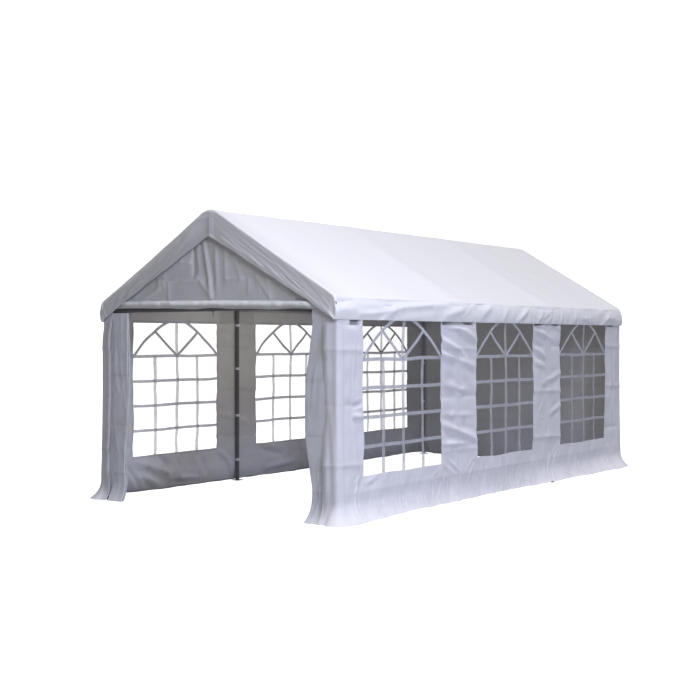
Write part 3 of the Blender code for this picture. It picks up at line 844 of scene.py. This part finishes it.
film, tape = film_finish(), tape_finish()
for word, side in SIDES:
    for number, (low, high) in enumerate(windows, 1):
        grids = window_sheet(side, low, high)
        pane = sew(f"window_{word}_{number}", *grids, [film], FILM_THICKNESS, turned=side < 0)
        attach(pane, "root")
        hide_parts(f"window_film_{word}_{number}")
        verts, faces, dense = [], [], []
        for path, width, share in window_bars(low, high):
            points, quads = ribbon(side, path, width)
            faces += [tuple(i + len(verts) for i in quad) for quad in quads]
            verts += points.tolist()
            dense += [share] * len(points)
        mesh = bpy.data.meshes.new(f"window_bars_{word}_{number}")
        mesh.from_pydata(verts, [], faces)
        mesh.attributes.new("dense", "FLOAT", "POINT").data.foreach_set("value", dense)
        mesh.materials.append(tape)
        bars = bpy.data.objects.new(mesh.name, mesh)
        bpy.context.scene.collection.objects.link(bars)
        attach(bars, "root")

# Gable panels. A cloth triangle hangs behind each band, inside the cover, and its lower hem is rolled
# over the beam. The packing folds are still square and sharp in it.
GABLE_GREY = (0.685, 0.68, 0.71, 1)
GABLE_SHADE = (0.61, 0.605, 0.63, 1)
GABLE_CREASES = (
    (-0.16, 2.195, -0.74, 2.2, 0.03, 0.013), (-0.24, 2.58, -0.235, 2.22, 0.03, -0.012),
    (-0.21, 2.25, 0.01, 2.02, 0.035, 0.013), (-0.57, 2.2, -0.56, 2, 0.022, 0.008),
    (0.175, 2.5, 0.18, 2.19, 0.022, 0.009), (0.42, 2.19, 0.16, 2.2, 0.022, 0.009),
    (0.46, 2.2, 0.47, 2.05, 0.022, 0.007), (0.54, 2.23, 0.74, 1.99, 0.03, 0.009),
    (0.26, 2.42, 0.38, 2.18, 0.03, 0.006), (-0.97, 1.98, -0.6, 2.17, 0.03, 0.007),
    (0.84, 2.15, 1.02, 2, 0.03, 0.006), (-0.42, 2.37, -0.25, 2.36, 0.025, 0.007),
    (-0.5, 2.4, -0.26, 2.36, 0.03, 0.007), (0.7, 2.2, 0.72, 2.03, 0.022, 0.005),
)
GABLE_FOLDS = (
    (-0.12, 2.66, 0.005, 1.98, 0.008, 0.02, 0.015), (0.045, 2.64, 0.08, 2.05, 0, 0.02, 0.007),
    (-0.19, 2.54, -0.15, 2.22, 0, 0.018, 0.006),
)
GABLE_HALF = 1.47
ROLL_TOP = 1.998
ROLL_TILT = 0.018
ROLL_MIDDLE = 1.959
gable_cloth = woven_finish("gable_cloth", GABLE_GREY, GABLE_SHADE, 0.55)
roll_edge = (ROLL_TOP, ROLL_TILT)
# The panel's outer finish paints a highlight on the top of the roll
gable_cloth_lit_roll = woven_finish("gable_cloth_lit_roll", GABLE_GREY, GABLE_SHADE, wear_and_shade=1.3, lit_roll=roll_edge)
# The gable's inner face is painted darker as shade of the inside
gable_inside_shaded = woven_finish("gable_inside_shaded", WALL_INSIDE_SHADED, WALL_INSIDE_DEEP_SHADE, 0.6)


def gable_panel(name, end):
    xs = stations([-GABLE_HALF, -1.19, 0.0, 1.19, GABLE_HALF], 0.0125)
    top = np.interp(np.abs(xs), cover_line[::-1, 0], cover_line[::-1, 1]) - 0.006
    rows = stations([0, 1], 0.0165)
    floor = np.minimum(ROLL_TOP - ROLL_TILT * xs, top - 0.02)
    z_flat = floor[:, None] + (top - floor)[:, None] * rows
    x = xs[:, None] * np.ones_like(z_flat)
    relief, marked = creases(x, z_flat, GABLE_CREASES)
    seed = 300 if end < 0 else 400
    small = scattered(seed + 1, 16, (-1.1, 1.1), (2.05, 2.5), 62, 0.25, 0.02, 0.0026, 30)
    relief += 0.003 * ripples(x, z_flat, seed, 0.35)
    relief += folds(x, z_flat, GABLE_FOLDS) + folds(x, z_flat, small)
    face = np.full_like(z_flat, wall_y - 0.003) + relief * (1 - rise(z_flat, 2.6, 2.75))

    # The roll: the cloth bulges over the beam, turns under and comes up behind it
    middle = ROLL_MIDDLE - ROLL_TILT * xs + 0.005 * ripples(xs, 0 * xs, seed + 2, 0.5)
    half_height = 0.039 + 0.006 * rise(xs, 0.0, 0.12) + 0.005 * ripples(xs, 0 * xs, seed + 3, 0.3)
    half_height = np.maximum(np.minimum(half_height, floor - middle), 0.006)
    turn = np.linspace(0, math.pi * 1.45, 16)[1:]
    roll_z = middle[:, None] + half_height[:, None] * np.cos(turn)
    plump = 0.046 * (1 - rise(np.abs(xs), 1.12, 1.3)) + 0.006
    roll_y = wall_y - 0.004 + plump[:, None] * np.sin(turn)
    uneven = ripples(x[:, :1] + 0 * roll_z, roll_z, seed + 4, 0.14)
    roll_y += 0.006 * uneven * np.clip(np.sin(turn), 0.2, 1)
    y = np.concatenate([roll_y[:, ::-1], face], 1)
    z = np.concatenate([roll_z[:, ::-1], z_flat], 1)
    x = xs[:, None] * np.ones_like(z)
    points = np.stack([x, end * y, z], -1)
    marked = np.concatenate([0 * roll_z, marked], 1)
    return sew(name, points, points[..., ::2], marked, [gable_cloth_lit_roll, gable_inside_shaded], turned=end > 0)


for word, end in (("front", -1), ("back", 1)):
    panel = gable_panel(f"gable_{word}", end)
    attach(panel, "root")
    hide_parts(f"gable_panel_{word}")

# Front curtains. Each half of the front wall is folded back in layers against its corner and zipped
# to the side wall's edge, so its own packing folds lie across the bundle.
CURTAIN_BLUE = (0.75, 0.76, 0.83, 1)
CURTAIN_SHADE = (0.64, 0.64, 0.69, 1)
CURTAIN_LAYERS = 6
CURTAIN_CREASES = ((1.27, 0.003), (0.77, -0.004), (0.27, 0.003))
CURTAIN_REACHES = {
    1: (
        (0.002, 1.166), (0.06, 1.19), (0.29, 1.21), (0.47, 1.176), (0.77, 1.131), (1.22, 1.131),
        (1.53, 1.176), (1.75, 1.21), (1.89, 1.21),
    ),
    -1: (
        (0.002, 1.15), (0.08, 1.165), (0.35, 1.18), (0.62, 1.172), (0.74, 1.155), (0.86, 1.14),
        (1.1, 1.131), (1.5, 1.131), (1.89, 1.135),
    ),
}
curtain_low, curtain_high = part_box("front_curtain_right")


def front_curtain(name, side):
    heights = stations([0.004, *sorted(z for z, _ in CURTAIN_CREASES), curtain_high.z], 0.022)
    inner = np.interp(heights, *zip(*CURTAIN_REACHES[side]))
    inner = np.convolve(np.pad(inner, 2, mode="edge"), np.ones(5) / 5, "valid")
    seed = 500 if side > 0 else 600
    spacing = (curtain_high.y - curtain_low.y - 0.006) / (CURTAIN_LAYERS - 0.5)
    rows = []
    for z, reach in zip(heights, inner):
        path = []
        for layer in range(CURTAIN_LAYERS):
            y = curtain_low.y + 0.002 + layer * spacing
            shorter = 0.006 + 0.006 * ((layer * 7) % 3) + 0.004 * math.sin(5 * z + layer)
            near, far = reach + shorter, curtain_high.x + 0.009 - 0.003 * (layer % 2)
            flat_run = np.linspace(far, near, 13) if layer % 2 == 0 else np.linspace(near, far, 13)
            path += [(x, y) for x in flat_run]
            if layer < CURTAIN_LAYERS - 1:
                end_x, bulge = flat_run[-1], -0.004 if layer % 2 == 0 else 0.0035
                for angle in np.linspace(0, math.pi, 7)[1:-1]:
                    turn_y = y + spacing / 2 * (1 - math.cos(angle))
                    path.append((end_x + bulge * math.sin(angle), turn_y))
        rows.append(path)
    plan = np.array(rows)
    z = heights[:, None] * np.ones(plan.shape[1])
    x = plan[..., 0]
    packed = [(1.0, height, 1.4, height, 0.03, size) for height, size in CURTAIN_CREASES]
    relief, marked = creases(x, z, packed)
    hang = folds(x, z, scattered(seed + 1, 12, (1.14, 1.33), (0.1, 1.8), 84, 0.5, 0.012, 0.004, 12))
    relief = (relief + hang + 0.002 * ripples(x, z, seed + 2, 0.15)) * (1 - rise(x, 1.30, 1.34))
    foot = np.clip(1 - z / SKIRT_HEIGHT, 0, 1) ** 1.9
    deep = (plan[..., 1] - curtain_low.y) / (curtain_high.y - curtain_low.y)
    y = plan[..., 1] - relief - foot * (0.086 - 0.02 * deep)
    points = np.stack([side * x, y, z * (1 - 0.2 * foot)], -1)
    cut = np.stack([along(plan[0]) * np.ones_like(x), z], -1)
    return sew(name, points, cut, marked, [curtain_cloth], turned=side > 0)


curtain_cloth = woven_finish("curtain_cloth", CURTAIN_BLUE, CURTAIN_SHADE, 0.55)
for word, side in SIDES:
    curtain = front_curtain(f"curtain_{word}", side)
    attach(curtain, "root")
    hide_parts(f"front_curtain_{word}")

# Back wall. One plain cloth closes the back, zipped to the side walls at both edges, with its skirt
# on the ground and its packing folds in a grid.
BACK_LAP = 0.02
BACK_UPRIGHT_CREASES = (-0.67, 0, 0.67)


def back_wall():
    edge = return_edge + BACK_LAP
    xs = stations([-edge, *BACK_UPRIGHT_CREASES, edge], 0.026)
    heights = stations([0.002, HEM_WIDTH, SKIRT_HEIGHT, *PACKED_HEIGHTS, wall_top], 0.026)
    x, z = np.meshgrid(xs, heights, indexing="ij")
    packed = [(-1.4, z0, 1.4, z0, 0.035, 0.004 * way) for z0, way in zip(PACKED_HEIGHTS, (1, -1, 1))]
    packed += [(place, 0, place, 1.95, 0.03, -0.003) for place in BACK_UPRIGHT_CREASES]
    relief, marked = creases(x, z, packed)
    relief += 0.006 * ripples(x, z, 700, 0.6) + 0.002 * ripples(x, z / 4, 701, 0.15)
    relief += folds(x, z, scattered(702, 26, (-1.2, 1.2), (0.1, 1.8), 75, 0.5, 0.022, 0.005, 25))
    relief *= (1 - rise(np.abs(x), 1.15, 1.34)) * (1 - rise(z, 1.8, 1.93))
    skirt = 0.05 * np.clip(1 - z / SKIRT_HEIGHT, 0, 1) ** 1.8
    y = wall_y - 0.001 + relief + skirt - 0.006 * rise(np.abs(x), return_edge - 0.04, return_edge)
    points = np.stack([x, y, z], -1)
    return sew("back", points, points[..., ::2], marked, [gable_cloth, wall_inside_shaded], turned=True)


back = back_wall()
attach(back, "root")
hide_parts("back_wall")

# Ties. Straps of wall cloth, sewn to the walls inside, go round each leg four times and close on
# themselves with hook-and-loop tape.
TIE_HEIGHTS = (0.24, 0.75, 1.29, 1.79)
TIE_WIDTH = 0.028
TIE_LAYERS = ((0.0222, TIE_WIDTH, -2), (0.024, TIE_WIDTH - 0.003, 0.008))
TIE_THICKNESS = 0.0014
SOFT_ANGLE = math.radians(40)


def joined(parts):
    for part in parts:
        part.select_set(True)
    bpy.context.view_layer.objects.active = parts[0]
    bpy.ops.object.join()
    return bpy.context.object


def tie(leg, side, height):
    """One strap round a leg: the loop, and the closing tab over its inner side."""
    place = (leg.x, leg.y, height)
    layers = []
    for radius, width, reach in TIE_LAYERS:
        bpy.ops.mesh.primitive_cylinder_add(
            vertices=32, radius=radius, depth=width, end_fill_type="NOTHING", location=place
        )
        layer = bpy.context.object
        bpy.ops.object.transform_apply(location=True, rotation=True, scale=True)
        bpy.ops.object.mode_set(mode="EDIT")
        bpy.ops.mesh.select_mode(type="FACE")
        bpy.ops.mesh.select_all(action="DESELECT")
        bpy.ops.object.mode_set(mode="OBJECT")
        for face in layer.data.polygons:
            face.select = (leg.x - face.center.x) * side < reach
        bpy.ops.object.mode_set(mode="EDIT")
        bpy.ops.mesh.delete(type="FACE")
        bpy.ops.object.mode_set(mode="OBJECT")
        layers.append(layer)
    strap = joined(layers)
    cloth = strap.modifiers.new("cloth", "SOLIDIFY")
    cloth.thickness, cloth.offset = TIE_THICKNESS, 0
    soft = strap.modifiers.new("edges", "BEVEL")
    soft.width, soft.segments = 0.0004, 2
    apply_modifiers(strap)
    return strap


tie_cloth = woven_finish("tie_cloth", WALL_BLUE_WHITE, WALL_SHADE, 0.55)
for word, side in SIDES:
    for number in (1, 2, 3, 4):
        low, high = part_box(f"leg_{word}_{number}")
        leg = Vector((side * leg_x, (low.y + high.y) / 2, 0))
        ties = joined([tie(leg, side, height) for height in TIE_HEIGHTS])
        ties.name = f"ties_{word}_{number}"
        ties.data.materials.append(tie_cloth)
        bpy.ops.object.shade_smooth_by_angle(angle=SOFT_ANGLE)
        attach(ties, "root")

# Small parts. A steel ring and pin hang from the beam where its two tubes meet, a steel peg holds the
# right skirt down, and an eyelet with the frame's coat sits in the cover's corner above the first leg.
HANGER_RADIUS = 0.0035
HANGER_DROP = 0.05
PEG_PLACE = (1.606, 0.89)
PEG_RADIUS = 0.005
PEG_HEIGHT = 0.012
PEG_BENDS = (((0, 0.014), (0.004, 0, 0.003)), ((0.004, 0.018), (0.024, 0, -0.001)))
EYELET_PLACE = (1.51, -3.0745, 1.955)
EYELET_RADII = (0.009, 0.003)


def rounded_edges(part, width):
    bevel = part.modifiers.new("edges", "BEVEL")
    bevel.width, bevel.segments = width, 2
    apply_modifiers(part)


def coated(part, name):
    """Names a steel part, keeps its place in its mesh and gives it the frame's coat."""
    part.name = name
    bpy.ops.object.transform_apply(location=True, rotation=True, scale=True)
    part.data.materials.append(coat)
    bpy.ops.object.shade_smooth_by_angle(angle=SOFT_ANGLE)


beam_low, beam_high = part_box("gable_beam_front")
beam_centre = Vector((0.0, (beam_low.y + beam_high.y) / 2, (beam_low.z + beam_high.z) / 2))
beam_radius = (beam_high.z - beam_low.z) / 2
bpy.ops.mesh.primitive_torus_add(
    major_radius=beam_radius + HANGER_RADIUS,
    minor_radius=HANGER_RADIUS,
    major_segments=40,
    minor_segments=12,
    location=beam_centre,
    rotation=(0, math.pi / 2, 0),
)
hanger = bpy.context.object
pin_centre = beam_centre - Vector((0, 0, beam_radius + HANGER_DROP / 2))
bpy.ops.mesh.primitive_cylinder_add(
    vertices=20, radius=HANGER_RADIUS, depth=HANGER_DROP, location=pin_centre
)
rounded_edges(bpy.context.object, 0.001)
hanger = joined([hanger, bpy.context.object])
coated(hanger, "beam_loop")
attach(hanger, "root")

bpy.ops.mesh.primitive_cylinder_add(
    vertices=20, radius=PEG_RADIUS, depth=PEG_HEIGHT, location=(*PEG_PLACE, PEG_HEIGHT / 2)
)
peg = bpy.context.object
bpy.ops.object.transform_apply(location=True, rotation=True, scale=True)
for face in peg.data.polygons:
    face.select = face.normal.z > 0.9
bpy.ops.object.mode_set(mode="EDIT")
bpy.ops.mesh.select_mode(type="FACE")
bpy.ops.mesh.extrude_region_move(TRANSFORM_OT_translate={"value": (0, 0, 0.004)})
for (beside, height), move in PEG_BENDS:
    centre = (PEG_PLACE[0] + beside, PEG_PLACE[1], height)
    bpy.ops.transform.rotate(value=math.radians(-45), orient_axis="Y", center_override=centre)
    bpy.ops.mesh.extrude_region_move(TRANSFORM_OT_translate={"value": move})
bpy.ops.mesh.select_all(action="SELECT")
bpy.ops.mesh.normals_make_consistent(inside=False)
bpy.ops.object.mode_set(mode="OBJECT")
rounded_edges(peg, 0.0008)
coated(peg, "skirt_peg")
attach(peg, "root")

front_rows = cover_points[:, : len(cover_ys) // 3].reshape(-1, 3)
bpy.ops.mesh.primitive_torus_add(
    major_radius=EYELET_RADII[0],
    minor_radius=EYELET_RADII[1],
    major_segments=32,
    minor_segments=12,
    location=min(front_rows, key=lambda point: math.dist(point, EYELET_PLACE)),
    rotation=(math.pi / 2, 0, 0.2),
)
eyelet = bpy.context.object
coated(eyelet, "cover_eyelet")
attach(eyelet, "root")

# Studio. A pale floor and a pale sky, a broad soft sun from above, soft lamps at the front, the right
# and the back, two lamps for the inside, and the camera that sees the tent from its front right corner.
CAMERA_PLACE = (7.723, -11.362, 1.629)
CAMERA_TILT = 0.0089
CAMERA_TURN = 0.6313
CAMERA_LENS = 61.28
SKY_LIGHT = (0.135, 0.135, 0.145, 1)
BACKDROP = (1.3, 1.3, 1.3, 1)
FLOOR_REACH = 60
FLOOR_GLOW = 0.05
FLOOR_SEEN_GLOW = 1.1
FLOOR_COLOUR = (0.3, 0.3, 0.305, 1)
FLOOR_SEEN_COLOUR = (0.3, 0.3, 0.31, 1)
WARM_WHITE = (1, 0.985, 0.97)
SUN_PLACE = (8, 1, 9)
SUN_WAY = (0.2, 0, 0.98)
SUN_ANGLE = math.radians(16)

bpy.ops.mesh.primitive_plane_add(size=2 * FLOOR_REACH, location=(0, 0, -0.0005))
floor = bpy.context.object
floor.name = "floor"
floor_finish, shader, place = new_finish("floor", Roughness=0.9, Specular_IOR_Level=0.0)
seen = place.add("LightPath")
seen.blend(FLOOR_COLOUR, FLOOR_SEEN_COLOUR).feed(shader.inputs["Base Color"])
shader.inputs["Emission Color"].default_value = (1, 1, 1, 1)
(seen * FLOOR_SEEN_GLOW + FLOOR_GLOW).feed(shader.inputs["Emission Strength"])
floor.data.materials.append(floor_finish)

world = bpy.data.worlds.new("studio")
world.use_nodes = True
bpy.context.scene.world = world
seen = Signal(world.node_tree).add("LightPath")
seen.blend(SKY_LIGHT, BACKDROP).feed(world.node_tree.nodes["Background"].inputs["Color"])


def lamp(name, kind, place, watts, colour, way):
    """A light at a place, shining against the way given."""
    bpy.ops.object.light_add(type=kind, location=place)
    light = bpy.context.object
    light.name = name
    light.data.energy = watts
    light.data.color = colour
    light.rotation_euler = Vector(way).to_track_quat("Z", "Y").to_euler()
    return light


sun = lamp("key_light", "SUN", SUN_PLACE, 2.2, WARM_WHITE, SUN_WAY)
sun.data.angle = SUN_ANGLE
under_roof = lamp("inside_light", "AREA", (0, -0.9, 2.38), 13, WARM_WHITE, (0, 0, 1))
under_roof.data.shape = "RECTANGLE"
under_roof.data.size, under_roof.data.size_y = 1.5, 3.4
low = lamp("low_light", "POINT", (0, -1.2, 1.85), 11.5, WARM_WHITE, (0, 0, 1))
low.data.shadow_soft_size = 0.6
for light in (under_roof, low):
    light.visible_camera = False
    light.visible_glossy = False
for name, place, aim, size, watts, colour in (
    ("front_light", (5.5, -6.5, 5.5), (0, -2.5, 2.2), 1.8, 118, (1.0, 0.985, 0.96)),
    ("side_light", (9.5, -5.5, 5.0), (1.2, -1.5, 1.5), 2.6, 415, (0.64, 0.75, 1.0)),
    ("back_light", (-8, 6, 6), (0, 1, 1), 3, 470, (1.0, 0.98, 0.96)),
):
    light = lamp(name, "AREA", place, watts, colour, Vector(place) - Vector(aim))
    light.data.shape = "DISK"
    light.data.size = size

bpy.ops.object.camera_add(location=CAMERA_PLACE, rotation=(math.pi / 2 - CAMERA_TILT, 0, CAMERA_TURN))
camera = bpy.context.object
camera.data.lens = CAMERA_LENS
camera.data.sensor_width = 36
bpy.context.scene.camera = camera
bpy.context.scene.view_settings.view_transform = "Standard"
